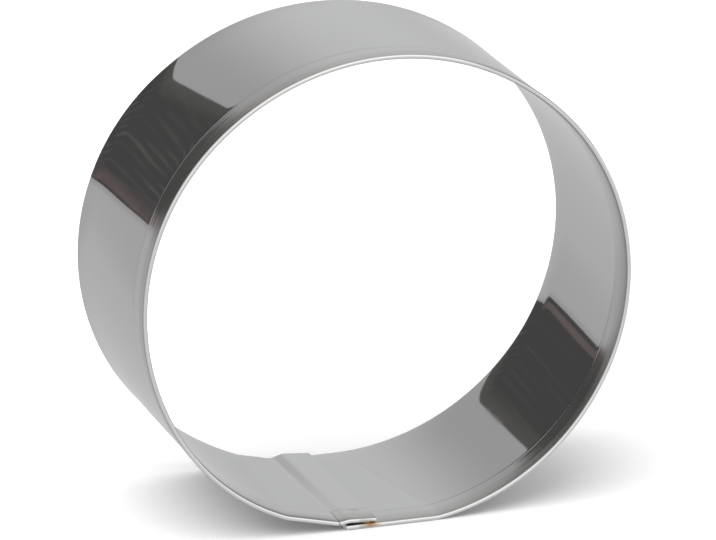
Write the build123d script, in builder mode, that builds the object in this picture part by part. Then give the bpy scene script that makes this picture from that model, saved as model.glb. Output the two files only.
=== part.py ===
from build123d import *
import os
from math import atan, cos, degrees, radians, sin, tan

# A round biscuit cutter: one strip of polished sheet steel, folded over along its pressing rim
# and lapped on itself, with two spot welds through the lap. It stands on the lap, as on a
# table: the ring's axis lies along Y, with the folded rim in front, at -Y, and the cutting edge
# behind. The floor is Z = 0 and the origin is the middle of the ring's foot. The rims are a little
# wider than tall, and flattened where they are lapped.

# The strip
sheet_thickness = 0.35
ring_depth = 35.0

# The folded rim: the strip's edge is turned in and pressed flat against itself, and a shallow
# step in the strip keeps both layers centred on the wall
hem_width = 4.9
hem_gap = 0.06
hem_step_depth = 0.7
hem_return_setback = 0.3

# The lap at the foot of the ring, along X from the middle
lap_outer_end = 7.2
lap_inner_end = 2.3
lap_ramp_top = 6.4
lap_clearance = 0.1
ramp_length = 1.0
ramp_bend_radius = 2.5

# The bends on the left of the lap, the same on both rims
crease_radius = 6.0
crease_angle = 22.0
seam_run_slope = 13.0

# The arcs that both rims are drawn with, by the slope at which one arc takes over from the next
foot_arc_angle = 50.0
crown_arc_angle = 135.0
corner_radius = 8.0

# The folded rim's outline, on the middle of the strip
rim_flat = 7.5
rim_corner_angle = 10.0
rim_foot_radius = 37.6
rim_side_radius = 38.4
rim_ramp_slope = 9.0
rim_tail_slope = 3.0

# The cutting edge's outline, on the middle of the strip
edge_flat = 2.5
edge_corner_angle = 1.5
edge_foot_radius = 39.9
edge_side_radius = 37.5
edge_ramp_slope = 17.0
edge_tail_slope = 5.0

# The spot welds through the lap
rim_weld_radius = 1.0
rim_weld_place = 1.3
rim_weld_offset = 3.5
edge_weld_radius = 1.2
edge_weld_place = 30.5
edge_weld_offset = 4.3
weld_bite_share = 0.6

fold_radius = sheet_thickness + hem_gap / 2
hem_thickness = 2 * fold_radius
rim_height = fold_radius
edge_height = sheet_thickness / 2
hem_end = hem_width + hem_step_depth
middle_depth = ring_depth / 2


def sin_of(angle):
    return sin(radians(angle))


def cos_of(angle):
    return cos(radians(angle))


def rim_runs(flat, corner_angle, foot_radius, side_radius, ramp_slope, tail_slope, lap_rise):
    """The strip's middle line round one rim, from its outer end to its inner end, as a list of
    straight runs (length, 0) and bends (radius, angle), a bend to the right having a minus angle.

    Two things are worked out so that the ring closes: the radius of the crown, and, on the left,
    the straight run and the arc above it that bring the inner end down onto the outer one.
    """
    foot, crown = foot_arc_angle, crown_arc_angle
    half_width = flat + corner_radius * sin_of(corner_angle)
    half_width += foot_radius * (sin_of(foot) - sin_of(corner_angle))
    half_width += side_radius * (sin_of(crown) - sin_of(foot))
    crown_radius = half_width / sin_of(crown)

    shoulder = corner_radius * (1 - cos_of(corner_angle))
    shoulder += foot_radius * (cos_of(corner_angle) - cos_of(foot))

    tail = (lap_ramp_top - lap_inner_end) / cos_of(tail_slope)
    reach = lap_ramp_top
    rise = lap_rise + tail * sin_of(tail_slope)
    reach += ramp_bend_radius * (sin_of(tail_slope) + sin_of(ramp_slope))
    rise -= ramp_bend_radius * (cos_of(tail_slope) - cos_of(ramp_slope))
    reach += ramp_length * cos_of(ramp_slope)
    rise -= ramp_length * sin_of(ramp_slope)
    reach += ramp_bend_radius * (sin_of(seam_run_slope) + sin_of(ramp_slope))
    rise += ramp_bend_radius * (cos_of(ramp_slope) - cos_of(seam_run_slope))
    reach += crease_radius * (sin_of(crease_angle) - sin_of(seam_run_slope))
    rise += crease_radius * (cos_of(seam_run_slope) - cos_of(crease_angle))

    across = half_width - side_radius * (sin_of(crown) - sin_of(foot)) - reach
    up = shoulder - rise
    arc_across = sin_of(foot) - sin_of(crease_angle)
    arc_up = cos_of(crease_angle) - cos_of(foot)
    slope_across, slope_up = cos_of(seam_run_slope), sin_of(seam_run_slope)
    spread = slope_across * arc_up - slope_up * arc_across
    seam_run = (across * arc_up - up * arc_across) / spread
    left_foot_radius = (slope_across * up - slope_up * across) / spread

    return [
        (lap_outer_end + flat, 0),
        (corner_radius, corner_angle),
        (foot_radius, foot - corner_angle),
        (side_radius, crown - foot),
        (crown_radius, 2 * (180 - crown)),
        (side_radius, crown - foot),
        (left_foot_radius, foot - crease_angle),
        (crease_radius, crease_angle - seam_run_slope),
        (seam_run, 0),
        (ramp_bend_radius, seam_run_slope + ramp_slope),
        (ramp_length, 0),
        (ramp_bend_radius, -ramp_slope - tail_slope),
        (tail, 0),
    ]


def draw_runs(runs, height, inset):
    """Draw the runs as lines and arcs, from the strip's outer end, moved inwards by the inset.
    Returns the first and the last curve drawn.
    """
    outer_end = (-lap_outer_end, height + inset)
    tail_length = runs[0][0]
    drawn = [Line(outer_end, (tail_length - lap_outer_end, height + inset))]
    for size, angle in runs[1:]:
        start, heading = drawn[-1] @ 1, drawn[-1] % 1
        if angle == 0:
            drawn.append(Line(start, start + heading * size))
        else:
            radius = size - inset if angle > 0 else size + inset
            drawn.append(JernArc(start=start, tangent=heading, radius=radius, arc_size=angle))
    return drawn[0], drawn[-1]


rim_outline = rim_runs(
    rim_flat, rim_corner_angle, rim_foot_radius, rim_side_radius,
    rim_ramp_slope, rim_tail_slope, hem_thickness + lap_clearance,
)
edge_outline = rim_runs(
    edge_flat, edge_corner_angle, edge_foot_radius, edge_side_radius,
    edge_ramp_slope, edge_tail_slope, sheet_thickness + lap_clearance,
)


def draw_section(runs, height):
    """Draw the strip's closed section, one sheet thick."""
    outer = draw_runs(runs, height, -sheet_thickness / 2)
    inner = draw_runs(runs, height, sheet_thickness / 2)
    Line(outer[0] @ 0, inner[0] @ 0)
    Line(outer[1] @ 1, inner[1] @ 1)


def lap_middle(place, offset):
    """The middle heights of the outer and the inner strip where a weld goes through the lap, at
    this place behind the folded rim and this far left of the middle. From the step to the cutting
    edge the wall runs straight.
    """
    share = max(0, (place - hem_end) / (ring_depth - hem_end))
    run = offset - lap_inner_end
    rim_inner = rim_height + hem_thickness + lap_clearance + run * tan(radians(rim_tail_slope))
    edge_inner = edge_height + sheet_thickness + lap_clearance
    edge_inner += run * tan(radians(edge_tail_slope))
    outer = rim_height + share * (edge_height - rim_height)
    return outer, rim_inner + share * (edge_inner - rim_inner)


def draw_weld(place, offset, radius, half_wall):
    """A weld: a short round post that bites into both strips from the gap between them."""
    outer, inner = lap_middle(place, offset)
    bite = weld_bite_share * sheet_thickness
    bottom, top = outer + half_wall - bite, inner - half_wall + bite
    with BuildSketch(Plane.XY.offset(bottom)) as spot:
        with Locations((-offset, place - middle_depth)):
            Circle(radius)
    extrude(spot.sketch, amount=top - bottom)


with BuildPart() as rim_weld:
    draw_weld(rim_weld_place, rim_weld_offset, rim_weld_radius, fold_radius)

with BuildPart() as edge_weld:
    draw_weld(edge_weld_place, edge_weld_offset, edge_weld_radius, sheet_thickness / 2)

with BuildPart() as ring_band:
    # The folded rim and its step, as one profile carried along the strip's middle line
    with BuildLine(Plane.XZ.offset(middle_depth)) as rim_line:
        draw_runs(rim_outline, rim_height, 0)
    step_shift = (sheet_thickness + hem_gap) / 2
    step_angle = 2 * degrees(atan(step_shift / hem_step_depth))
    step_radius = hem_step_depth / (2 * sin_of(step_angle))
    tight, wide = step_radius - sheet_thickness / 2, step_radius + sheet_thickness / 2
    profile_plane = Plane(
        origin=(-lap_outer_end, -middle_depth, rim_height), x_dir=(0, 1, 0), z_dir=(1, 0, 0)
    )
    with BuildSketch(profile_plane):
        with BuildLine():
            return_end = hem_width - hem_return_setback
            outside = Line((fold_radius, -fold_radius), (hem_width, -fold_radius))
            step_out = JernArc(outside @ 1, (1, 0), tight, step_angle)
            step_back = JernArc(step_out @ 1, step_out % 1, wide, -step_angle)
            wall = Line(step_back @ 1, step_back @ 1 + (0, sheet_thickness))
            inner_back = JernArc(wall @ 1, (-1, 0), tight, step_angle)
            inner_out = JernArc(inner_back @ 1, inner_back % 1, wide, -step_angle)
            slot = Line(inner_out @ 1, (fold_radius, -hem_gap / 2))
            bend = JernArc(slot @ 1, (-1, 0), hem_gap / 2, -180)
            facing = Line(bend @ 1, (return_end, hem_gap / 2))
            cut = Line(facing @ 1, (return_end, fold_radius))
            inside = Line(cut @ 1, (fold_radius, fold_radius))
            JernArc(inside @ 1, (-1, 0), fold_radius, 180)
        make_face()
    sweep(path=rim_line.wire())
    # The rest of the wall, from the step to the cutting edge
    with BuildSketch(Plane.XZ.offset(middle_depth - hem_end)):
        with BuildLine():
            draw_section(rim_outline, rim_height)
        make_face()
    with BuildSketch(Plane.XZ.offset(-middle_depth)):
        with BuildLine():
            draw_section(edge_outline, edge_height)
        make_face()
    loft(ruled=True)

    # The welds have fused with both strips
    add(rim_weld.part, mode=Mode.SUBTRACT)
    add(edge_weld.part, mode=Mode.SUBTRACT)

ring_band.part.label = "ring_band"
rim_weld.part.label = "rim_weld"
edge_weld.part.label = "edge_weld"

os.makedirs("parts", exist_ok=True)
export_step(ring_band.part, "parts/ring_band.step")
export_step(rim_weld.part, "parts/rim_weld.step")
export_step(edge_weld.part, "parts/edge_weld.step")
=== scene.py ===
"""A round biscuit cutter of polished sheet steel, standing on its lap in a white studio.

The band is one strip with a folded rim, drawn again here with the fine forms that a finish needs.
The two spot welds stay the CAD's own solids and get their heat-tinted metal here.
"""

import math

import bpy
import numpy as np
from bpy.props import FloatProperty, FloatVectorProperty, PointerProperty
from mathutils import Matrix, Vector


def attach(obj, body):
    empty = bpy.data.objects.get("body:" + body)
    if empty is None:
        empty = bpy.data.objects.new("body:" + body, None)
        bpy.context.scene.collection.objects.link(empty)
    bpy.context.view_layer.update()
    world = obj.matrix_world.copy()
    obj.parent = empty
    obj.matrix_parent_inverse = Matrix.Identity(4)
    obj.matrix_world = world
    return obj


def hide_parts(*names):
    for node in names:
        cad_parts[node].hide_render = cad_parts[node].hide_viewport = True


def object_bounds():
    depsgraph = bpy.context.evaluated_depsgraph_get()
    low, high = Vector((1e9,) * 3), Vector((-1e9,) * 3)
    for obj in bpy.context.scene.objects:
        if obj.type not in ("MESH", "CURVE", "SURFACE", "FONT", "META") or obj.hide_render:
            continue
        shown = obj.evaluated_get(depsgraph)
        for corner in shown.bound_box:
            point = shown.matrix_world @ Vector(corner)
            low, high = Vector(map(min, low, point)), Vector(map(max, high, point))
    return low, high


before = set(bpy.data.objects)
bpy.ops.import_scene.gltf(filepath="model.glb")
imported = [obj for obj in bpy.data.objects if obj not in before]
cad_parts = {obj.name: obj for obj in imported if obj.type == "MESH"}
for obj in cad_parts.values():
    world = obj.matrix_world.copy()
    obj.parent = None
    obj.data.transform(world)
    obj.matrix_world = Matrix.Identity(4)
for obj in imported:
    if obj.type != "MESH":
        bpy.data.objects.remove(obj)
CAD_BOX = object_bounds()

bl_info = {
    "name": "Biscuit Cutter",
    "version": (1, 0, 0),
    "blender": (4, 5, 0),
    "location": "3D View > Sidebar > Cutter",
    "description": "Builds a round biscuit cutter of folded sheet steel and its studio",
    "category": "Add Mesh",
}

MM = 0.001


# Sizes and colours


class BandSizes(bpy.types.PropertyGroup):
    """The strip of sheet steel: the CAD's sizes, and the fine forms that only the finish has."""

    sheet: FloatProperty(
        name="Sheet", description="Thickness of the steel sheet",
        default=0.35 * MM, unit="LENGTH",
    )
    depth: FloatProperty(
        name="Depth", description="From the folded rim to the cutting edge",
        default=CAD_BOX[1].y - CAD_BOX[0].y, unit="LENGTH",
    )
    hem_width: FloatProperty(
        name="Hem", description="Width of the folded rim",
        default=4.9 * MM, unit="LENGTH",
    )
    hem_gap: FloatProperty(
        name="Hem gap", description="Gap inside the folded rim",
        default=0.06 * MM, unit="LENGTH",
    )
    step_depth: FloatProperty(
        name="Step", description="Depth of the step behind the folded rim",
        default=0.7 * MM, unit="LENGTH",
    )
    return_setback: FloatProperty(
        name="Return setback", description="How far the folded layer stops short of the step",
        default=0.15 * MM, unit="LENGTH",
    )
    rim_settle: FloatProperty(
        name="Rim settle", description="How far the folded rim has settled to the right",
        default=0.2 * MM, unit="LENGTH",
    )
    edge_round: FloatProperty(
        name="Edge round", description="Rounding of the sheet's cut edges",
        default=0.07 * MM, unit="LENGTH",
    )
    hem_lean: FloatProperty(
        name="Hem lean", description="How far the folded rim opens outwards over its width",
        default=0.15 * MM, unit="LENGTH",
    )
    bulge: FloatProperty(
        name="Bulge", description="How far the wall stands out between the step and the flare",
        default=0.04 * MM, unit="LENGTH",
    )
    waist: FloatProperty(
        name="Waist", description="How far the wall has drawn in where the flare begins",
        default=0.05 * MM, unit="LENGTH",
    )
    flare_reach: FloatProperty(
        name="Flare reach", description="Width of the strip that flares out at the cutting edge",
        default=7.0 * MM, unit="LENGTH",
    )


class SteelLooks(bpy.types.PropertyGroup):
    """The polished steel and its marks."""

    colour: FloatVectorProperty(
        name="Steel", description="Colour of the polished steel",
        subtype="COLOR", size=3, min=0, max=1, default=(0.57, 0.57, 0.572),
    )
    roughness: FloatProperty(
        name="Roughness", description="Roughness of the clean polished face",
        default=0.035, min=0, max=1, subtype="FACTOR",
    )
    # The crest's colour is a painted highlight, on the folded edge and on the cutting edge
    crest_highlight_colour: FloatVectorProperty(
        name="Crest", description="Colour of the worn crest of the folded edge",
        subtype="COLOR", size=3, min=0, max=1, default=(0.82, 0.82, 0.815),
    )
    # The shoulders' colour is painted dark reflection, in lines beside the crest
    dark_reflection_colour: FloatVectorProperty(
        name="Shoulder", description="Colour of the dull lines beside the crest",
        subtype="COLOR", size=3, min=0, max=1, default=(0.28, 0.28, 0.272),
    )
    hem_colour: FloatVectorProperty(
        name="Worked steel", description="Colour of the steel on the folded rim",
        subtype="COLOR", size=3, min=0, max=1, default=(0.50, 0.495, 0.475),
    )
    straw: FloatVectorProperty(
        name="Straw tint", description="Outer ring of the heat tint at the weld",
        subtype="COLOR", size=3, min=0, max=1, default=(0.62, 0.49, 0.34),
    )
    brown: FloatVectorProperty(
        name="Brown tint", description="Heart of the heat tint at the weld",
        subtype="COLOR", size=3, min=0, max=1, default=(0.45, 0.28, 0.16),
    )


class StudioLooks(bpy.types.PropertyGroup):
    """The light, the floor and the dark cloth."""

    floor: FloatProperty(
        name="Floor", description="Brightness of the floor's own colour",
        default=0.80, min=0, max=1, subtype="FACTOR",
    )
    floor_seen: FloatProperty(
        name="Floor seen", description="Brightness of the floor's colour where the camera sees it",
        default=1.48, min=0, soft_max=2, subtype="FACTOR",
    )
    top_power: FloatProperty(
        name="Top light", description="Power of the large soft light overhead",
        default=6.0, min=0, unit="POWER",
    )
    ambient: FloatProperty(
        name="Ambient", description="Strength of the light from all round",
        default=0.55, min=0,
    )
    dark_card: FloatVectorProperty(
        name="Dark card", description="Colour of the dark cloth that the steel mirrors",
        subtype="COLOR", size=3, min=0, max=1, default=(0.086, 0.086, 0.085),
    )
    olive_card: FloatVectorProperty(
        name="Card side", description="Colour of the dark cloth near its upright edge",
        subtype="COLOR", size=3, min=0, max=1, default=(0.124, 0.121, 0.112),
    )
    red_card: FloatVectorProperty(
        name="Card foot", description="Colour of the strip along the dark cloth's foot",
        subtype="COLOR", size=3, min=0, max=1, default=(0.19, 0.157, 0.154),
    )


# The strip's outline: straight runs (length, 0) and bends (radius, angle in degrees), from the
# outer end of the lap round to the inner end, in mm. A bend to the right has a minus angle.

LAP_OUTER_END = 7.2
LAP_INNER_END = 2.3
LAP_RAMP_TOP = 6.4
LAP_CLEARANCE = 0.1
RAMP_LENGTH = 1.0
RAMP_BEND_RADIUS = 2.5
CREASE_RADIUS = 6.0
CREASE_ANGLE = 22.0
SEAM_RUN_SLOPE = 13.0
FOOT_ARC_ANGLE = 50.0
CROWN_ARC_ANGLE = 135.0
CORNER_RADIUS = 8.0

# What differs between the folded rim and the cutting edge
RIM_SHAPE = {
    "flat": 7.5, "corner_angle": 10.0, "foot_radius": 37.6, "side_radius": 38.4,
    "ramp_slope": 9.0, "tail_slope": 3.0,
}
EDGE_SHAPE = {
    "flat": 2.5, "corner_angle": 1.5, "foot_radius": 39.9, "side_radius": 37.5,
    "ramp_slope": 17.0, "tail_slope": 5.0,
}

# The welds: how far left of the ring's middle, and how far behind the folded rim
RIM_WELD_OFFSET = 3.5
EDGE_WELD_OFFSET = 4.3
EDGE_WELD_PLACE = 30.5


def sin_of(angle):
    return math.sin(math.radians(angle))


def cos_of(angle):
    return math.cos(math.radians(angle))


def rim_runs(flat, corner_angle, foot_radius, side_radius, ramp_slope, tail_slope, lap_rise):
    """The runs round one rim, closed by the crown's radius and by the run left of the lap."""
    foot, crown = FOOT_ARC_ANGLE, CROWN_ARC_ANGLE
    half_width = flat + CORNER_RADIUS * sin_of(corner_angle)
    half_width += foot_radius * (sin_of(foot) - sin_of(corner_angle))
    half_width += side_radius * (sin_of(crown) - sin_of(foot))
    crown_radius = half_width / sin_of(crown)

    shoulder = CORNER_RADIUS * (1 - cos_of(corner_angle))
    shoulder += foot_radius * (cos_of(corner_angle) - cos_of(foot))

    tail = (LAP_RAMP_TOP - LAP_INNER_END) / cos_of(tail_slope)
    reach = LAP_RAMP_TOP
    rise = lap_rise + tail * sin_of(tail_slope)
    reach += RAMP_BEND_RADIUS * (sin_of(tail_slope) + sin_of(ramp_slope))
    rise -= RAMP_BEND_RADIUS * (cos_of(tail_slope) - cos_of(ramp_slope))
    reach += RAMP_LENGTH * cos_of(ramp_slope)
    rise -= RAMP_LENGTH * sin_of(ramp_slope)
    reach += RAMP_BEND_RADIUS * (sin_of(SEAM_RUN_SLOPE) + sin_of(ramp_slope))
    rise += RAMP_BEND_RADIUS * (cos_of(ramp_slope) - cos_of(SEAM_RUN_SLOPE))
    reach += CREASE_RADIUS * (sin_of(CREASE_ANGLE) - sin_of(SEAM_RUN_SLOPE))
    rise += CREASE_RADIUS * (cos_of(SEAM_RUN_SLOPE) - cos_of(CREASE_ANGLE))

    across = half_width - side_radius * (sin_of(crown) - sin_of(foot)) - reach
    up = shoulder - rise
    arc_across = sin_of(foot) - sin_of(CREASE_ANGLE)
    arc_up = cos_of(CREASE_ANGLE) - cos_of(foot)
    slope_across, slope_up = cos_of(SEAM_RUN_SLOPE), sin_of(SEAM_RUN_SLOPE)
    spread = slope_across * arc_up - slope_up * arc_across
    seam_run = (across * arc_up - up * arc_across) / spread
    left_foot_radius = (slope_across * up - slope_up * across) / spread

    return [
        (LAP_OUTER_END + flat, 0),
        (CORNER_RADIUS, corner_angle),
        (foot_radius, foot - corner_angle),
        (side_radius, crown - foot),
        (crown_radius, 2 * (180 - crown)),
        (side_radius, crown - foot),
        (left_foot_radius, foot - CREASE_ANGLE),
        (CREASE_RADIUS, CREASE_ANGLE - SEAM_RUN_SLOPE),
        (seam_run, 0),
        (RAMP_BEND_RADIUS, SEAM_RUN_SLOPE + ramp_slope),
        (RAMP_LENGTH, 0),
        (RAMP_BEND_RADIUS, -ramp_slope - tail_slope),
        (tail, 0),
    ]


# How many mesh stations each of those runs gets, the ramp's two bends the same number
RAMP_BEND_STATIONS = 14
RUN_STATIONS = [
    38, 8, 44, 100, 110, 100, 30, 10, 10, RAMP_BEND_STATIONS, 4, RAMP_BEND_STATIONS, 24,
]


def walk_runs(runs, height):
    """Stations along the runs: an array of (x, z) in millimetres and one of headings in degrees."""
    at = np.array([-LAP_OUTER_END, height])
    heading = 0.0
    places, headings = [], []
    for (size, angle), count in zip(runs, RUN_STATIONS):
        shares = np.arange(count) / count
        if angle == 0:
            ahead = np.array([cos_of(heading), sin_of(heading)])
            for share in shares:
                places.append(at + ahead * size * share)
                headings.append(heading)
            at = at + ahead * size
        else:
            turn = math.copysign(size, angle)
            centre = at + turn * np.array([-sin_of(heading), cos_of(heading)])
            for share in shares:
                now = heading + angle * share
                places.append(centre + turn * np.array([sin_of(now), -cos_of(now)]))
                headings.append(now)
            heading += angle
            at = centre + turn * np.array([sin_of(heading), -cos_of(heading)])
    places.append(at)
    headings.append(heading)
    return np.array(places), np.array(headings)


def rim_outline(sizes):
    """The folded rim's stations and headings."""
    fold = (sizes.sheet + sizes.hem_gap / 2) / MM
    return walk_runs(rim_runs(**RIM_SHAPE, lap_rise=2 * fold + LAP_CLEARANCE), fold)


def edge_outline(sizes):
    """The cutting edge's stations and headings."""
    sheet = sizes.sheet / MM
    return walk_runs(rim_runs(**EDGE_SHAPE, lap_rise=sheet + LAP_CLEARANCE), sheet / 2)


# The strip's profile

# How many points each bend and each straight stretch gets
CUT_POINTS, STEP_POINTS, FOLD_POINTS, SLOT_END_POINTS = 5, 9, 21, 7
FLARE_POINTS, WALL_POINTS, BEHIND_STEP_POINTS, HEM_POINTS, SLOT_POINTS = 8, 20, 3, 10, 4
WELD_OUTSIDE_POINTS, WELD_INSIDE_POINTS = 5, 18

# How far the finer stretches reach, in mm: to each side of the weld, and behind the step
WELD_REACH = 2.2
BEHIND_STEP_REACH = 2


def arc_points(centre, radius, start, end, count):
    """Points on an arc of the strip's profile, angles in degrees, both ends included."""
    angles = np.radians(np.linspace(start, end, count))
    return [(centre[0] + radius * math.cos(a), centre[1] + radius * math.sin(a)) for a in angles]


def even_points(start, end, count):
    """Points on a straight stretch of the profile, without its ends."""
    shares = np.linspace(0, 1, count + 2)[1:-1]
    return [
        (start[0] + (end[0] - start[0]) * s, start[1] + (end[1] - start[1]) * s) for s in shares
    ]


def strip_profile(sizes):
    """The closed profile across the strip as (depth behind the rim, offset inwards), in mm."""
    sheet, depth = sizes.sheet / MM, sizes.depth / MM
    hem, gap, step = sizes.hem_width / MM, sizes.hem_gap / MM, sizes.step_depth / MM
    corner = sizes.edge_round / MM
    half, fold = sheet / 2, sheet + gap / 2
    shift = (sheet + gap) / 2
    step_angle = 2 * math.degrees(math.atan(shift / step))
    middle = step / (2 * sin_of(step_angle))
    tight, wide = middle - half, middle + half

    cut, wall_start = depth - corner, hem + step
    near_step = wall_start + BEHIND_STEP_REACH
    weld_back, weld_front = EDGE_WELD_PLACE + WELD_REACH, EDGE_WELD_PLACE - WELD_REACH
    return_end = hem - sizes.return_setback / MM

    # Round the cutting edge, and along the outer face to the fold
    points = arc_points((cut, half - corner), corner, 90, 0, CUT_POINTS)
    points += arc_points((cut, corner - half), corner, 0, -90, CUT_POINTS)
    points += even_points((cut, -half), (weld_back, -half), FLARE_POINTS)
    points += even_points((weld_back, -half), (weld_front, -half), WELD_OUTSIDE_POINTS)
    points += even_points((weld_front, -half), (near_step, -half), WALL_POINTS)
    points += even_points((near_step, -half), (wall_start, -half), BEHIND_STEP_POINTS)
    points += arc_points((wall_start, -half - wide), wide, 90, 90 + step_angle, STEP_POINTS)
    step_out = arc_points((hem, -fold + tight), tight, -90 + step_angle, -90, STEP_POINTS)
    points += step_out[1:]
    points += even_points((hem, -fold), (fold, -fold), HEM_POINTS)

    # Round the fold, along the returned layer and back through the slot
    points += arc_points((fold, 0), fold, -90, -270, FOLD_POINTS)
    points += even_points((fold, fold), (return_end, fold), HEM_POINTS)
    points += arc_points((return_end - corner, fold - corner), corner, 90, 0, CUT_POINTS)
    points += arc_points((return_end - corner, gap / 2 + corner), corner, 0, -90, CUT_POINTS)
    points += even_points((return_end - corner, gap / 2), (fold, gap / 2), SLOT_POINTS)
    points += arc_points((fold, 0), gap / 2, 90, 270, SLOT_END_POINTS)
    points += even_points((fold, -gap / 2), (hem, -gap / 2), SLOT_POINTS)

    # Up the step, and along the inner face to the cutting edge
    points += arc_points((hem, -gap / 2 + wide), wide, -90, -90 + step_angle, STEP_POINTS)
    step_in = arc_points((wall_start, half - tight), tight, 90 + step_angle, 90, STEP_POINTS)
    points += step_in[1:]
    points += even_points((wall_start, half), (near_step, half), BEHIND_STEP_POINTS)
    points += even_points((near_step, half), (weld_front, half), WALL_POINTS)
    points += even_points((weld_front, half), (weld_back, half), WELD_INSIDE_POINTS)
    points += even_points((weld_back, half), (cut, half), FLARE_POINTS)
    return np.array(points)


# The band

# The folded rim's settling, in mm: how far behind the rim it fades out and by which power, the
# heights between which it sets in, the places across between which it eases off and how much
# of it goes, and the heights between which the rim also sinks
SETTLE_REACH, SETTLE_POWER = 6.0, 1.3
SETTLE_HEIGHTS = (5, 30)
SETTLE_ACROSS, SETTLE_EASE = (0, 30), 0.6
SINK_HEIGHTS = (55, 75)

# The electrode's dimple over the weld near the cutting edge, in mm: its depth, and the radii
# between which it fades out
DIMPLE_DEPTH = 0.02
DIMPLE_RADII = (0.5, 1.2)

# The last runs, which make the lap's inner layer: the ramp, its upper bend and the tail
INNER_LAYER_RUNS = 3


def smooth_step(low, high, values):
    """0 below low, 1 above high, smooth between."""
    share = np.clip((values - low) / (high - low), 0, 1)
    return share * share * (3 - 2 * share)


def band_places(sizes):
    """The places of the strip's mesh, in mm: stations by points of the profile by (x, y, z)."""
    depth = sizes.depth / MM
    hem_end = (sizes.hem_width + sizes.step_depth) / MM
    rim, rim_heading = rim_outline(sizes)
    edge, edge_heading = edge_outline(sizes)

    def inward(heading):
        angle = np.radians(heading)
        return np.stack([-np.sin(angle), np.cos(angle)], 1)

    profile = strip_profile(sizes)
    behind, offset = profile[:, 0], profile[:, 1]
    share = np.clip((behind - hem_end) / (depth - hem_end), 0, 1)[None, :, None]

    # The folded rim opens a little to the front. The wall stands out, draws in, and then flares
    # back out to the cutting edge
    hem, step = sizes.hem_width / MM, sizes.step_depth / MM
    lean = np.clip(behind / hem, 0, 1) * (1 - smooth_step(hem, hem + step, behind))
    reach = sizes.flare_reach / MM
    flare = np.clip((behind - depth) / reach + 1, 0, 1) ** 3

    def draw_in(at):
        along = np.maximum(at - hem_end, 0) / (depth - reach - hem_end)
        return sizes.waist / MM * along**2 - 4 * sizes.bulge / MM * along * (1 - along)

    offset = offset + sizes.hem_lean / MM * lean + draw_in(behind) - draw_in(depth) * flare
    offset = offset[None, :, None]
    at_rim = rim[:, None, :] + inward(rim_heading)[:, None, :] * offset
    at_edge = edge[:, None, :] + inward(edge_heading)[:, None, :] * offset
    across = at_rim * (1 - share) + at_edge * share

    # Away from its foot, the folded rim stands a little to the right, and low at the top
    fade = (1 - np.clip(behind / SETTLE_REACH, 0, 1)) ** SETTLE_POWER
    settle = (sizes.rim_settle / MM) * fade
    to_right = smooth_step(*SETTLE_HEIGHTS, rim[:, 1])
    to_right = to_right * (1 - SETTLE_EASE * smooth_step(*SETTLE_ACROSS, rim[:, 0]))
    across[:, :, 0] += to_right[:, None] * settle[None, :]
    across[:, :, 1] -= smooth_step(*SINK_HEIGHTS, rim[:, 1])[:, None] * settle[None, :]

    # The dimple, in the inner face of the lap's inner layer
    layer_stations = sum(RUN_STATIONS[-INNER_LAYER_RUNS:])
    on_inner_layer = np.arange(len(rim)) >= len(rim) - 1 - layer_stations
    away = np.hypot(across[:, :, 0] + EDGE_WELD_OFFSET, (behind - EDGE_WELD_PLACE)[None, :])
    dimple = DIMPLE_DEPTH * (1 - smooth_step(*DIMPLE_RADII, away))
    inner_face = on_inner_layer[:, None] & (profile[:, 1] > 0)[None, :]
    across[:, :, 1] -= np.where(inner_face, dimple, 0)

    places = np.empty((*across.shape[:2], 3))
    places[:, :, 0] = across[:, :, 0]
    places[:, :, 1] = behind[None, :] - depth / 2
    places[:, :, 2] = across[:, :, 1]
    return places


def tube_faces(count, around):
    """The faces of a closed tube: quads from station to station, and a cap at each end."""
    first = np.arange(count - 1)[:, None] * around
    here = np.arange(around)[None, :]
    after = (here + 1) % around
    corners = [first + here, first + after, first + around + after, first + around + here]
    faces = [tuple(quad) for quad in np.stack(corners, -1).reshape(-1, 4).tolist()]
    last = (count - 1) * around
    faces.append(tuple(range(around)))
    faces.append(tuple(range(last + around - 1, last - 1, -1)))
    return faces


def build_band_mesh(sizes):
    """The whole strip as one closed mesh, in metres."""
    places = band_places(sizes)
    mesh = bpy.data.meshes.new("band")
    mesh.from_pydata((places.reshape(-1, 3) * MM).tolist(), [], tube_faces(*places.shape[:2]))
    mesh.validate()
    mesh.update()
    return mesh


# Node helpers


class Reading:
    """One output of a shader node. Sums and products of readings add Math nodes."""

    def __init__(self, nodes, socket):
        self.nodes = nodes
        self.socket = socket

    def _math(self, operation, *values):
        inputs = dict(enumerate(values))
        return self.nodes.add("ShaderNodeMath", {"operation": operation}, inputs)

    def __add__(self, other):
        return self._math("ADD", self, other)

    def __radd__(self, other):
        return self._math("ADD", other, self)

    def __sub__(self, other):
        return self._math("SUBTRACT", self, other)

    def __rsub__(self, other):
        return self._math("SUBTRACT", other, self)

    def __mul__(self, other):
        return self._math("MULTIPLY", self, other)

    def __rmul__(self, other):
        return self._math("MULTIPLY", other, self)

    def __truediv__(self, other):
        return self._math("DIVIDE", self, other)

    def __rtruediv__(self, other):
        return self._math("DIVIDE", other, self)

    def __gt__(self, other):
        return self._math("GREATER_THAN", self, other)

    def __lt__(self, other):
        return self._math("LESS_THAN", self, other)

    def __abs__(self):
        return self._math("ABSOLUTE", self)

    def at_most(self, other):
        return self._math("MINIMUM", self, other)

    def at_least(self, other):
        return self._math("MAXIMUM", self, other)

    def rise(self, low, high):
        """0 below low, 1 above high, smooth between."""
        settings = {"interpolation_type": "SMOOTHSTEP"}
        inputs = {"Value": self, "From Min": low, "From Max": high}
        return self.nodes.add("ShaderNodeMapRange", settings, inputs)

    def between(self, start, full, fade, end):
        """0 before the start and past the end, 1 from full to fade, smooth between."""
        return self.rise(start, full) * (1 - self.rise(fade, end))


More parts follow.
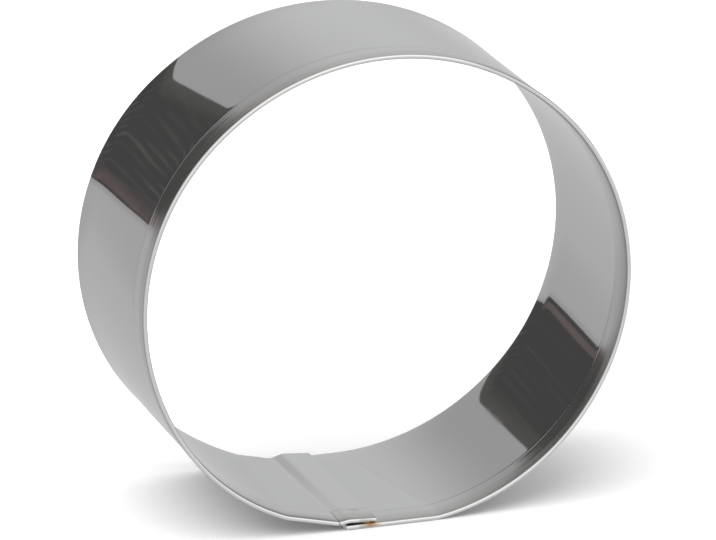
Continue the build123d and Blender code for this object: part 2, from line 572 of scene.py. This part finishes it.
class NodeBench:
    """The nodes of one material or world."""

    def __init__(self, tree):
        self.tree = tree
        tree.nodes.clear()

    def add(self, kind, settings=None, inputs=None, output=0):
        """A node of this type, its settings made first, then its sockets' values or links."""
        node = self.tree.nodes.new(kind)
        for name, value in (settings or {}).items():
            setattr(node, name, value)
        for key, value in (inputs or {}).items():
            socket = node.inputs[key]
            if isinstance(value, Reading):
                self.tree.links.new(value.socket, socket)
            else:
                socket.default_value = value
        return Reading(self, node.outputs[output] if node.outputs else None)

    def coordinates(self, kind):
        """A vector of the Texture Coordinate node, by its output's name."""
        return self.add("ShaderNodeTexCoord", None, None, kind)

    def parts(self, vector):
        """The three numbers of a vector."""
        outputs = self.add("ShaderNodeSeparateXYZ", None, {0: vector}).socket.node.outputs
        return [Reading(self, outputs[i]) for i in range(3)]

    def ray(self, *kinds):
        """What the Light Path node says of a ray, by its outputs' names."""
        outputs = self.add("ShaderNodeLightPath").socket.node.outputs
        return [Reading(self, outputs[kind]) for kind in kinds]

    def mix(self, share, first, second):
        """A colour between two colours."""
        first, second = (c if isinstance(c, Reading) else (*c, 1.0) for c in (first, second))
        # A Mix node for colours has them in sockets 6 and 7, and its result in output 2
        settings = {"data_type": "RGBA"}
        return self.add("ShaderNodeMix", settings, {0: share, 6: first, 7: second}, 2)

    def blend(self, share, first, second):
        """A shader between two shaders."""
        return self.add("ShaderNodeMixShader", None, {0: share, 1: first, 2: second})

    def noise(self, vector, scale, detail=2.0, roughness=0.5, distortion=0.0):
        inputs = {
            "Vector": vector, "Scale": scale, "Detail": detail,
            "Roughness": roughness, "Distortion": distortion,
        }
        return self.add("ShaderNodeTexNoise", None, inputs)

    def stretch(self, vector, scale):
        """The vector with each part scaled by its own number."""
        return self.add(
            "ShaderNodeVectorMath", {"operation": "MULTIPLY"}, {0: vector, 1: scale}
        )


def new_material(name):
    material = bpy.data.materials.new(name)
    material.use_nodes = True
    return material, NodeBench(material.node_tree)


# Materials

# The steel's two faces are told apart by how far the normal leans out from the ring's middle:
# the height of that middle, and the lean at which the crest gives way to a face
RING_MIDDLE = 39.0 * MM
CREST_TURN = 0.012

# Noise scales of fine lines round the ring: small along the strip and large across its depth
HEM_LINES = (14.0, 1300.0, 14.0)
ROLLING_LINES = (35.0, 5200.0, 35.0)
DIRT_STREAKS = (260.0, 1500.0, 1.0)

# The colours of the smaller marks; the step's and the crease's colours are painted shade
HEM_LINE_COLOUR = (0.40, 0.40, 0.39)
STEP_SHADE_COLOUR = (0.30, 0.30, 0.295)
CLOUD_COLOUR = (0.47, 0.475, 0.49)
FILM_COLOUR = (0.50, 0.45, 0.455)
DIRT_COLOUR = (0.31, 0.315, 0.27)
CREASE_SHADE_COLOUR = (0.16, 0.16, 0.16)
SPECK_COLOUR = (0.22, 0.21, 0.19)
OXIDE_DARK, OXIDE_PALE = (0.16, 0.085, 0.04), (0.42, 0.33, 0.22)


def ramp_feet(sizes):
    """Where the inner strip's ramp leaves its run, across, at the rim and at the cutting edge."""
    bend = RUN_STATIONS.index(RAMP_BEND_STATIONS)
    station = sum(RUN_STATIONS[:bend]) + RAMP_BEND_STATIONS // 2
    return rim_outline(sizes)[0][station, 0] * MM, edge_outline(sizes)[0][station, 0] * MM


def steel_material(name, looks, sizes):
    """Polished sheet steel with a worked rim, rolling lines, smudges and a weld's heat tint.

    In each mix, the masks say where a mark is, and the number they are multiplied by how strong.
    """
    material, bench = new_material(name)
    place = bench.coordinates("Object")
    x, y, z = bench.parts(place)
    behind = y + sizes.depth / 2
    low = 1 - z.rise(3.0 * MM, 4.5 * MM)

    # Which face of the strip this is: 1 inside the ring, 0 outside, a half on the crest
    tilt_x, _, tilt_z = bench.parts(bench.coordinates("Normal"))
    outward = tilt_x * x + tilt_z * (z - RING_MIDDLE)
    inner = 1 - outward.rise(-CREST_TURN, CREST_TURN)

    # The folded rim: a painted highlight on its crest, painted dark reflection in lines beside it,
    # then a hem with fine lines
    hem_end = sizes.hem_width + sizes.step_depth / 2
    hem_lines = bench.noise(bench.stretch(place, HEM_LINES), 1.0, 3.0, 0.6)
    worked = 1 - behind.rise(1.4 * MM, 3.6 * MM)
    on_hem = 1 - behind.rise(hem_end - 0.2 * MM, hem_end)
    steel = bench.mix(worked * 0.8, looks.colour, looks.hem_colour)
    steel = bench.mix(on_hem * hem_lines.rise(0.5, 0.72) * 0.35, steel, HEM_LINE_COLOUR)
    # Painted shade along the step behind the hem, stronger on the inside
    step_shade = behind.between(
        hem_end - 0.75 * MM, hem_end - 0.45 * MM, hem_end + 0.3 * MM, hem_end + 0.6 * MM
    )
    steel = bench.mix(step_shade * (0.15 + inner * 0.45), steel, STEP_SHADE_COLOUR)
    left_foot = (0 - x).rise(4.0 * MM, 12.0 * MM) * (1 - z.rise(8.0 * MM, 16.0 * MM))
    right_side = x.rise(14.0 * MM, 30.0 * MM)
    upper_right = x.rise(10.0 * MM, 18.0 * MM) * z.rise(56.0 * MM, 62.0 * MM)
    # Painted dark reflection in lines beside the crest, strongest inside near the left foot
    shoulder = behind.between(0.08 * MM, 0.17 * MM, 0.4 * MM, 1.3 * MM)
    strength = inner * (0.12 + right_side * 0.25 + left_foot * 0.75)
    strength = strength + (1 - inner) * 0.1
    steel = bench.mix(shoulder * strength, steel, looks.dark_reflection_colour)
    # Painted highlight on the crest of the fold and along the cutting edge
    crest = 1 - behind.rise(0.07 * MM, 0.15 * MM)
    edge_highlight = behind.rise(sizes.depth - 0.35 * MM, sizes.depth - 0.1 * MM)
    steel = bench.mix((crest + edge_highlight).at_most(1), steel, looks.crest_highlight_colour)
    # The same painted dark reflection on the outside of the fold at the upper right
    outer_dark_reflection = upper_right * outward.rise(CREST_TURN, 0.026)
    outer_dark_reflection = outer_dark_reflection * (1 - behind.rise(0.5 * MM, 1.0 * MM))
    steel = bench.mix(outer_dark_reflection * 0.85, steel, looks.dark_reflection_colour)

    # Cloudy tone, and a pinkish film on the upper part of the ramp
    tone = bench.noise(place, 55.0, 2.0)
    steel = bench.mix((tone - 0.5).at_least(0) * 0.18, steel, CLOUD_COLOUR)
    rim_foot, edge_foot = ramp_feet(sizes)
    foot_line = rim_foot + (edge_foot - rim_foot) * (behind / sizes.depth)
    past_foot = (x - foot_line) * low
    film = past_foot.between(0.1 * MM, 0.5 * MM, 1.3 * MM, 1.9 * MM)
    film = film * low * behind.rise(10.0 * MM, 26.0 * MM)
    steel = bench.mix(film * 0.12, steel, FILM_COLOUR)

    # Streaks of dirt on the front of the lap, and painted shade in dark lines where the ramp meets
    # the hem and along the end of the inner layer
    on_tail = x.between(-6.5 * MM, -5.0 * MM, -2.2 * MM, -1.6 * MM) * low
    streaks = bench.noise(bench.stretch(place, DIRT_STREAKS), 1.0, 2.0, 0.5, 0.4)
    dirt = on_tail * streaks.rise(0.55, 0.68) * (1 - behind.rise(4.0 * MM, 6.5 * MM))
    steel = bench.mix(dirt * 0.45, steel, DIRT_COLOUR)
    crease_shade = (1 - abs(x - foot_line) / (0.22 * MM)).at_least(0) * low
    crease_shade = crease_shade * (1 - behind.rise(3.0 * MM, 6.5 * MM))
    end_shade = (1 - abs(x + (LAP_INNER_END - 0.25) * MM) / (0.2 * MM)).at_least(0) * low
    end_shade = end_shade * behind.rise(4.0 * MM, 6.0 * MM) * (1 - behind.rise(9.0 * MM, 17.0 * MM))
    steel = bench.mix(crease_shade * 0.8 + end_shade * 0.45, steel, CREASE_SHADE_COLOUR)

    # Heat tint at the weld, on the front of both layers
    patchy = bench.noise(place, 1500.0, 3.0)
    aside = abs(x + (RIM_WELD_OFFSET - 0.3) * MM) + (patchy - 0.5) * 0.0014
    warmth = (1 - aside / (1.9 * MM)).at_least(0) * (1 - behind.rise(0.2 * MM, 0.6 * MM))
    warmth = warmth * z.rise(0.0, 0.5 * MM) * (1 - z.rise(1.0 * MM, 1.35 * MM))
    steel = bench.mix(warmth.rise(0.03, 0.5) * 0.8, steel, looks.straw)
    steel = bench.mix(warmth.rise(0.35, 0.9) * 0.8, steel, looks.brown)

    # A few specks
    spots = bench.add("ShaderNodeTexVoronoi", None, {"Vector": place, "Scale": 48.0})
    chosen = bench.noise(place, 21.0, 1.0).rise(0.62, 0.66)
    speck = (1 - spots.rise(0.012, 0.022)) * chosen
    steel = bench.mix(speck * 0.8, steel, SPECK_COLOUR)

    # Rolling lines, smudges, and rougher steel where it is worked, rubbed, dirty or tinted
    lines = bench.noise(bench.stretch(place, ROLLING_LINES), 1.0, 3.0, 0.6)
    smudge = bench.noise(place, 130.0, 4.0, 0.6, 0.6).rise(0.52, 0.75)
    roughness = looks.roughness + (lines - 0.5) * 0.03 + smudge * 0.03
    rubbed = inner * (1 - behind.rise(0.9 * MM, 2.2 * MM)) * behind.rise(0.1 * MM, 0.3 * MM)
    roughness = roughness + worked * 0.08 + on_hem * 0.09 + rubbed * 0.15
    roughness = roughness + dirt * 0.15 + warmth.rise(0.1, 0.8) * 0.2
    roughness = roughness + (1 - behind.rise(0.2 * MM, 0.6 * MM)) * 0.12

    waves = bench.noise(bench.stretch(place, (1.0, 0.5, 1.0)), 75.0, 1.5)
    height = waves * 0.00036 + lines * 0.0000035 + hem_lines * on_hem * 0.0003
    normal = bench.add(
        "ShaderNodeBump", None, {"Height": height, "Distance": 1.0, "Strength": 0.12}
    )
    surface = bench.add(
        "ShaderNodeBsdfPrincipled", None,
        {"Base Color": steel, "Metallic": 1.0, "Roughness": roughness, "Normal": normal},
    )
    bench.add("ShaderNodeOutputMaterial", None, {"Surface": surface})
    return material


def weld_material(name):
    """Fused metal of a spot weld: dull, blotched, with an oxide tint."""
    material, bench = new_material(name)
    place = bench.coordinates("Object")
    blotch = bench.noise(place, 2600.0, 4.0, 0.6)
    grain = bench.noise(place, 9000.0, 2.0)
    colour = bench.mix(blotch.rise(0.35, 0.7), OXIDE_DARK, OXIDE_PALE)
    roughness = 0.35 + blotch * 0.25
    normal = bench.add("ShaderNodeBump", None, {"Height": grain * 0.00004, "Distance": 1.0})
    surface = bench.add(
        "ShaderNodeBsdfPrincipled", None,
        {"Base Color": colour, "Metallic": 1.0, "Roughness": roughness, "Normal": normal},
    )
    bench.add("ShaderNodeOutputMaterial", None, {"Surface": surface})
    return material


def floor_material(name, looks):
    """A white floor: it keeps the object's shadow, and its clear part reads as white."""
    material, bench = new_material(name)
    camera, clear = bench.ray("Is Camera Ray", "Is Transmission Ray")
    own, seen = (
        bench.add("ShaderNodeBsdfDiffuse", None, {"Color": (level, level, level, 1.0)})
        for level in (looks.floor, looks.floor_seen)
    )
    surface = bench.blend((camera + clear).at_most(1), own, seen)
    bench.add("ShaderNodeOutputMaterial", None, {"Surface": surface})
    return material


# The dark cloth, in metres on its card: a place on the line of its foot, with the line's height
# there and its slope, the depth of the soft shade below it, and how sharply it ends
FOOT_PLACE, FOOT_HEIGHT, FOOT_RISE = -0.42, 0.007, -0.25
FOOT_SHADE = 0.035
FOOT_EDGE = (-0.003, 0.001)

# The strip along the foot: the heights of its lower and upper side, how soft they are, and where
# it ends on the right
STRIP_FOOT, STRIP_TOP = 0.03, 0.059
STRIP_SOFTNESS = 0.004
STRIP_END = (-0.426, -0.423)

FOLD_COLOUR = (0.142, 0.141, 0.133)
BLOTCH_COLOUR = (0.17, 0.124, 0.126)
SHADE_COLOUR = (0.05, 0.05, 0.05)


def card_material(name, looks):
    """A dark cloth, paler to its upright edge, with a few folds and a strip along its foot."""
    material, bench = new_material(name)
    place = bench.coordinates("Object")
    x, y, _ = bench.parts(place)
    cloth = bench.mix(x.rise(-0.33, -0.27), looks.dark_card, looks.olive_card)
    settings = {"bands_direction": "Y", "wave_profile": "SIN"}
    inputs = {
        "Vector": place, "Scale": 8.5, "Distortion": 3.0, "Detail": 2.0, "Detail Scale": 1.6,
    }
    folds = bench.add("ShaderNodeTexWave", settings, inputs, 1)
    worn = bench.noise(place, 9.0, 2.0).rise(0.4, 0.65) * y.rise(0.1, 0.16)
    cloth = bench.mix(folds.rise(0.45, 1.0) * worn * 0.8, cloth, FOLD_COLOUR)

    def right_of(start, slope):
        return (x - start).at_least(0) * slope

    def left_of(start, slope):
        return (start - x).at_least(0) * slope

    # The foot's line, which turns up in two steps towards the cloth's upright edge
    corner = right_of(-0.434, 1.6).at_most(0.015) + right_of(-0.4243, 15.0).at_most(0.025)
    foot = FOOT_RISE * (x - FOOT_PLACE) + FOOT_HEIGHT + corner

    # The strip along the foot: reddish, blotched, with ragged sides that draw together
    blotch = bench.noise(bench.stretch(place, (150.0, 12.0, 1.0)), 1.0, 2.0).rise(0.45, 0.6)
    red = bench.mix(blotch, looks.red_card, BLOTCH_COLOUR)
    ragged = (bench.noise(place, 28.0, 2.0) - 0.5) * 0.016
    strip_foot = STRIP_FOOT + right_of(-0.439, 1.6) + left_of(-0.45, 0.15) + ragged
    strip_top = STRIP_TOP + right_of(-0.438, 1.1) + left_of(-0.46, 0.95) + ragged
    above_foot = (y - strip_foot).rise(-STRIP_SOFTNESS, STRIP_SOFTNESS)
    strip = above_foot * (strip_top - y).rise(-STRIP_SOFTNESS, STRIP_SOFTNESS)
    strip = strip * (1 - (-0.46 - x).rise(0.0, 0.03) * y.rise(0.03, 0.11) * 0.8)
    strip = strip * (1 - x.rise(*STRIP_END))
    colour = bench.mix(strip, cloth, red)

    # Below its foot the cloth gives way to a soft shade
    colour = bench.mix((y - foot).rise(*FOOT_EDGE), SHADE_COLOUR, colour)
    # The cloth glows with its own colour as light: a painted stand-in for a lit cloth that the
    # steel mirrors
    cloth = bench.add("ShaderNodeEmission", None, {"Color": colour, "Strength": 1.0})
    clear = bench.add("ShaderNodeBsdfTransparent")
    cover = (y - foot).rise(-FOOT_SHADE, 0) * 0.2 + (y - foot).rise(*FOOT_EDGE) * 0.8
    surface = bench.blend(cover, clear, cloth)
    bench.add("ShaderNodeOutputMaterial", None, {"Surface": surface})
    return material


# Pieces


def link(obj):
    bpy.context.scene.collection.objects.link(obj)
    return obj


class CUTTER_OT_add_band(bpy.types.Operator):
    """Build the folded and lapped strip, with its dimple and its polished finish"""

    bl_idname = "cutter.add_band"
    bl_label = "Add the band"

    def execute(self, context):
        sizes, looks = context.scene.cutter_band, context.scene.cutter_steel
        mesh = build_band_mesh(sizes)
        mesh.shade_smooth()
        mesh.set_sharp_from_angle(angle=math.radians(38))
        band = link(bpy.data.objects.new("band", mesh))
        band.data.materials.append(steel_material("Polished steel", looks, sizes))
        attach(band, "root")
        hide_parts("ring_band")
        return {"FINISHED"}


class CUTTER_OT_finish_welds(bpy.types.Operator):
    """Give the two spot welds between the lapped layers their heat-tinted metal"""

    bl_idname = "cutter.finish_welds"
    bl_label = "Finish the welds"

    def execute(self, context):
        material = weld_material("Weld metal")
        for name in ("rim_weld", "edge_weld"):
            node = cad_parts[name]
            node.data.materials.clear()
            node.data.materials.append(material)
        return {"FINISHED"}


# The studio, in metres

FLOOR_REACH = 6.0
FLOOR_DROP = 0.00002
CARD_CORNERS = [(-1.2, 0.16, 0), (-0.25, -0.08, 0), (-0.25, 1.3, 0), (-1.2, 1.3, 0)]
CARD_PLACE = (0.0, 1.0, 0.0)
TOP_LIGHT_SIZE = 1.15
TOP_LIGHT_PLACE, TOP_LIGHT_TARGET = (-0.3, -0.21, 0.85), (0, 0, 0.03)
WHITE = (1.0, 1.0, 1.0, 1.0)

# Brightness of the room that the steel mirrors. Behind the object: high up, with what it gains
# on the right, and low down, with what it loses on the left. In front: low down, with what it
# gains at middle height and again overhead. Last, what it loses where the steel throws it on
# the floor
REAR_HIGH, REAR_HIGH_GAIN = 0.52, 0.245
REAR_LOW, REAR_LOW_LOSS = 0.65, 0.06
FRONT_LOW, FRONT_MIDDLE_GAIN, FRONT_TOP_GAIN = 0.70, 0.42, 0.32
THROWN_LOSS = 0.6
LEFT_TINT, RIGHT_TINT = (1.0, 0.985, 0.988), (0.99, 0.994, 1.003)

# The camera: its focal length and the frame's width in pixels; where it stands in degrees, round
# from the front, with minus to the left, and up from the floor; and, in mm, the middle of the
# folded rim, how far back the camera stands, and how far that middle is right of the picture's
# middle and below it
SENSOR_WIDTH = 36.0
FOCAL_PIXELS, FRAME_PIXELS = 5000.0, 716.0
CAMERA_TURN, CAMERA_TILT = -18.474, 17.44
RIM_MIDDLE = (0, -17.5, 40.0)
CAMERA_DISTANCE = 783.346
RIM_RIGHT, RIM_DOWN = 5.079, 2.515


class CUTTER_OT_add_studio(bpy.types.Operator):
    """Add the floor, the room and cloth that the steel mirrors, the top light and the camera"""

    bl_idname = "cutter.add_studio"
    bl_label = "Add the studio"

    def execute(self, context):
        looks = context.scene.cutter_studio
        self.add_floor(looks)
        self.add_surround(context, looks)
        self.add_top_light(looks)
        self.add_dark_card(looks)
        self.add_camera(context)
        context.scene.view_settings.view_transform = "Standard"
        return {"FINISHED"}

    def add_floor(self, looks):
        near, far = -FLOOR_REACH, FLOOR_REACH
        corners = [(near, near, 0), (far, near, 0), (far, far, 0), (near, far, 0)]
        mesh = bpy.data.meshes.new("floor")
        mesh.from_pydata(corners, [], [(0, 1, 2, 3)])
        mesh.materials.append(floor_material("White floor", looks))
        floor = link(bpy.data.objects.new("floor", mesh))
        floor.location.z = -FLOOR_DROP
        floor.visible_glossy = False

    def add_surround(self, context, looks):
        """White for the camera, plain light for the floor, and soft greys for the steel."""
        world = bpy.data.worlds.new("White surround")
        context.scene.world = world
        world.use_nodes = True
        bench = NodeBench(world.node_tree)
        camera, glossy, clear, diffuse_bounces = bench.ray(
            "Is Camera Ray", "Is Glossy Ray", "Is Transmission Ray", "Diffuse Depth"
        )
        x, y, z = bench.parts(bench.coordinates("Generated"))

        # The room behind the object is dimmer to the left, most of all high up. The room in
        # front is bright, and brighter higher up
        upper = REAR_HIGH + x.rise(-0.15, 0.24) * REAR_HIGH_GAIN
        lower = REAR_LOW - (0 - x).rise(0.33, 0.43) * REAR_LOW_LOSS
        rear = lower + (upper - lower) * z.rise(0.0, 0.28)
        front = FRONT_LOW + z.rise(-0.2, 0.35) * FRONT_MIDDLE_GAIN
        front = front + z.rise(0.5, 0.9) * FRONT_TOP_GAIN
        level = rear + (front - rear) * (1 - y.rise(-0.3, 0.5))
        level = level * (1 - (diffuse_bounces > 0.5) * THROWN_LOSS)
        tint = bench.mix(x.rise(-0.3, 0.3), LEFT_TINT, RIGHT_TINT)
        room, white, ambient = (
            bench.add("ShaderNodeBackground", None, {"Color": colour, "Strength": strength})
            for colour, strength in ((tint, level), (WHITE, 1.0), (WHITE, looks.ambient))
        )
        surface = bench.blend(glossy, ambient, room)
        surface = bench.blend((camera + clear).at_most(1), surface, white)
        bench.add("ShaderNodeOutputWorld", None, {"Surface": surface})

    def add_top_light(self, looks):
        """The soft light overhead, which the steel doesn't mirror."""
        lamp = bpy.data.lights.new("top_light", "AREA")
        lamp.shape = "RECTANGLE"
        lamp.size, lamp.size_y = TOP_LIGHT_SIZE, TOP_LIGHT_SIZE
        lamp.energy = looks.top_power
        light = link(bpy.data.objects.new("top_light", lamp))
        light.location = TOP_LIGHT_PLACE
        light.rotation_mode = "QUATERNION"
        ahead = Vector(TOP_LIGHT_TARGET) - light.location
        light.rotation_quaternion = ahead.to_track_quat("-Z", "Y")
        light.visible_glossy = False

    def add_dark_card(self, looks):
        """The dark cloth behind the object, on a card that only the steel mirrors."""
        mesh = bpy.data.meshes.new("dark_card")
        mesh.from_pydata(CARD_CORNERS, [], [tuple(range(len(CARD_CORNERS)))])
        mesh.materials.append(card_material("Dark cloth", looks))
        card = link(bpy.data.objects.new("dark_card", mesh))
        card.visible_camera = False
        card.visible_diffuse = False
        card.visible_transmission = False
        card.visible_shadow = False
        card.location = CARD_PLACE
        card.rotation_euler = (math.radians(90), 0, 0)

    def add_camera(self, context):
        camera = bpy.data.cameras.new("camera")
        camera.sensor_width = SENSOR_WIDTH
        camera.lens = SENSOR_WIDTH * FOCAL_PIXELS / FRAME_PIXELS
        camera.clip_start, camera.clip_end = 0.05, 20.0
        camera_object = link(bpy.data.objects.new("camera", camera))
        turn, tilt = math.radians(CAMERA_TURN), math.radians(CAMERA_TILT)
        back = Vector((
            math.sin(turn) * math.cos(tilt), -math.cos(turn) * math.cos(tilt), math.sin(tilt)
        ))
        right = Vector((math.cos(turn), math.sin(turn), 0.0))
        up = back.cross(right)
        frame_middle = Vector(RIM_MIDDLE) * MM - (right * (RIM_RIGHT * MM) - up * (RIM_DOWN * MM))
        camera_object.location = frame_middle + back * (CAMERA_DISTANCE * MM)
        camera_object.rotation_mode = "QUATERNION"
        camera_object.rotation_quaternion = (-back).to_track_quat("-Z", "Y")
        context.scene.camera = camera_object


class CUTTER_PT_sidebar(bpy.types.Panel):
    """The cutter's operators and its sizes and colours, in the 3D view's sidebar"""

    bl_idname = "CUTTER_PT_sidebar"
    bl_label = "Biscuit cutter"
    bl_space_type = "VIEW_3D"
    bl_region_type = "UI"
    bl_category = "Cutter"

    def draw(self, context):
        layout = self.layout
        for operator in OPERATORS:
            layout.operator(operator.bl_idname)
        scene = context.scene
        for group in (scene.cutter_band, scene.cutter_steel, scene.cutter_studio):
            box = layout.box()
            for name in group.bl_rna.properties.keys():
                if name not in ("rna_type", "name"):
                    box.prop(group, name)


GROUPS = {"cutter_band": BandSizes, "cutter_steel": SteelLooks, "cutter_studio": StudioLooks}
OPERATORS = (CUTTER_OT_add_band, CUTTER_OT_finish_welds, CUTTER_OT_add_studio)


def register():
    for name, group in GROUPS.items():
        bpy.utils.register_class(group)
        setattr(bpy.types.Scene, name, PointerProperty(type=group))
    for operator in OPERATORS:
        bpy.utils.register_class(operator)
    bpy.utils.register_class(CUTTER_PT_sidebar)


def unregister():
    bpy.utils.unregister_class(CUTTER_PT_sidebar)
    for operator in reversed(OPERATORS):
        bpy.utils.unregister_class(operator)
    for name, group in GROUPS.items():
        delattr(bpy.types.Scene, name)
        bpy.utils.unregister_class(group)


def main():
    register()
    bpy.ops.cutter.add_band()
    bpy.ops.cutter.finish_welds()
    bpy.ops.cutter.add_studio()


if __name__ == "__main__":
    main()
